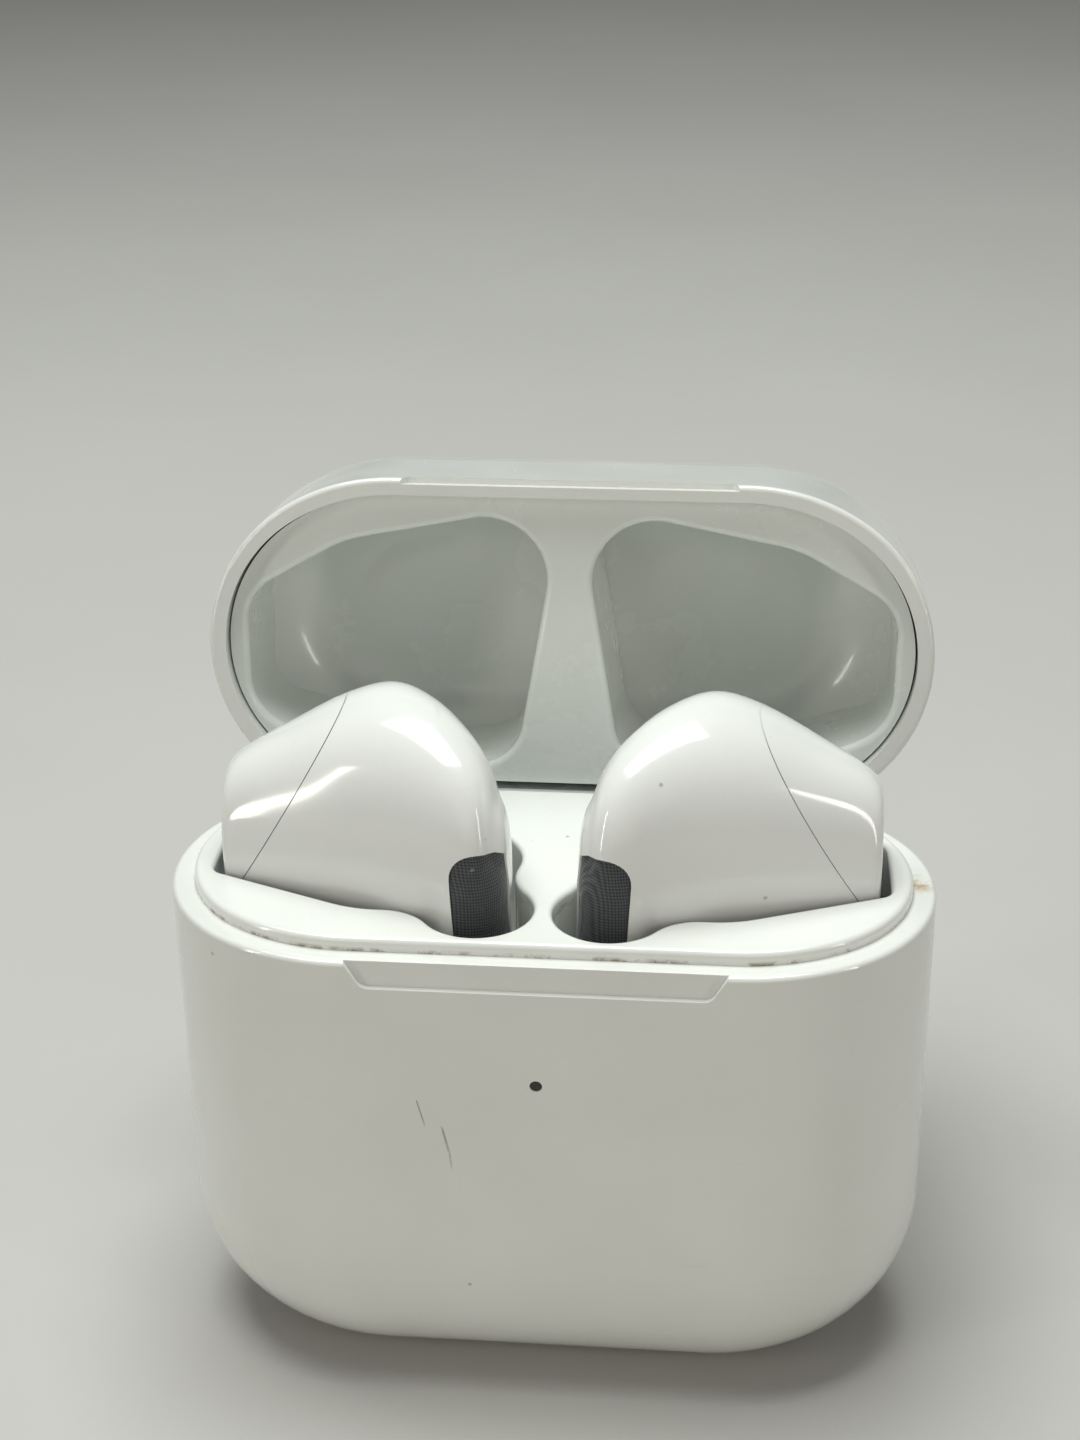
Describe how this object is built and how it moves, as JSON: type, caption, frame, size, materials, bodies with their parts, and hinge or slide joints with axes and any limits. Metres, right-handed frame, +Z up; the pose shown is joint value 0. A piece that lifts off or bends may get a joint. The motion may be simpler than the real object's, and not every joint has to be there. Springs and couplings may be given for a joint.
{
  "type": "wireless earbuds case",
  "caption": "Pocket charging case for wireless earbuds: rounded flat base and hinged lid standing open, with stemmed earbuds seated head-up in moulded wells.",
  "frame": {"origin": "centre of the flat underside that the case stands on", "axes": "+Z up, front of the case (thumb notch and status light) towards -Y, +X to the right seen from the front"},
  "size_m": [0.05, 0.0408, 0.0551],
  "materials": {
    "case_plastic": "glossy moulded plastic, warm white",
    "cradle_plastic": "satin-gloss moulded plastic, white",
    "bud_plastic": "glossy moulded plastic, white",
    "button_plastic": "satin moulded plastic, white",
    "mesh_black": "fine woven mesh, charcoal",
    "hinge_steel": "satin steel",
    "screw_steel": "machined steel",
    "contact_metal": "gold-plated contact",
    "ring_metal": "polished metal ring",
    "cell_foil": "foil pouch",
    "foam_black": "closed-cell foam",
    "board_green": "solder-masked circuit board",
    "socket_steel": "drawn steel shell",
    "tongue_black": "moulded black contact tongue",
    "coil_copper": "enamelled copper winding",
    "ferrite_grey": "ferrite sheet",
    "magnet_nickel": "nickel-plated magnet",
    "lens_clear": "smoked light pipe"
  },
  "bodies": {
    "base": {"base_shell": "case_plastic", "cradle": "cradle_plastic", "hinge_base_leaf": "hinge_steel", "hinge_pin": "screw_steel", "base_hinge_screws": "screw_steel", "battery_cells": "cell_foil", "battery_foam": "foam_black", "usb_receptacle": "socket_steel", "usb_tongue": "tongue_black", "main_board": "board_green", "charging_coil": "coil_copper", "coil_ferrite": "ferrite_grey", "button_switch": "board_green", "led_light_pipe": "lens_clear", "led_board": "board_green", "closing_magnets": "magnet_nickel", "well_magnets": "magnet_nickel", "contact_pins": "contact_metal"},
    "lid": {"lid_shell": "case_plastic", "lid_liner": "cradle_plastic", "lid_magnets": "magnet_nickel", "hinge_lid_leaf": "hinge_steel", "lid_hinge_screws": "screw_steel"},
    "bud_left": {"bud_left_shell": "bud_plastic", "bud_left_front_cover": "bud_plastic", "bud_left_vent_mesh": "mesh_black", "bud_left_nozzle_mesh": "mesh_black", "bud_left_tail_ring": "ring_metal", "bud_left_tail_mesh": "mesh_black", "bud_left_stem_board": "board_green", "bud_left_driver": "socket_steel", "bud_left_battery": "cell_foil", "bud_left_magnet": "magnet_nickel"},
    "bud_right": {"bud_right_shell": "bud_plastic", "bud_right_front_cover": "bud_plastic", "bud_right_vent_mesh": "mesh_black", "bud_right_nozzle_mesh": "mesh_black", "bud_right_tail_ring": "ring_metal", "bud_right_tail_mesh": "mesh_black", "bud_right_stem_board": "board_green", "bud_right_driver": "socket_steel", "bud_right_battery": "cell_foil", "bud_right_magnet": "magnet_nickel"},
    "setup_button": {"setup_button": "button_plastic"}
  },
  "joints": [
    {"name": "lid_hinge", "type": "hinge", "parent": "base", "child": "lid", "pos_m": [0, 0.0108, 0.033], "axis": [1, 0, 0], "range_deg": [0, 100]},
    {"name": "bud_left_lift", "type": "slide", "parent": "base", "child": "bud_left", "axis": [0, 0, 1], "range_m": [0, 0.036]},
    {"name": "bud_right_lift", "type": "slide", "parent": "base", "child": "bud_right", "axis": [0, 0, 1], "range_m": [0, 0.036]},
    {"name": "setup_button_press", "type": "slide", "parent": "base", "child": "setup_button", "axis": [0, -1, 0], "range_m": [0, 0.0003], "stiffness_N_per_m": 600}
  ]
}
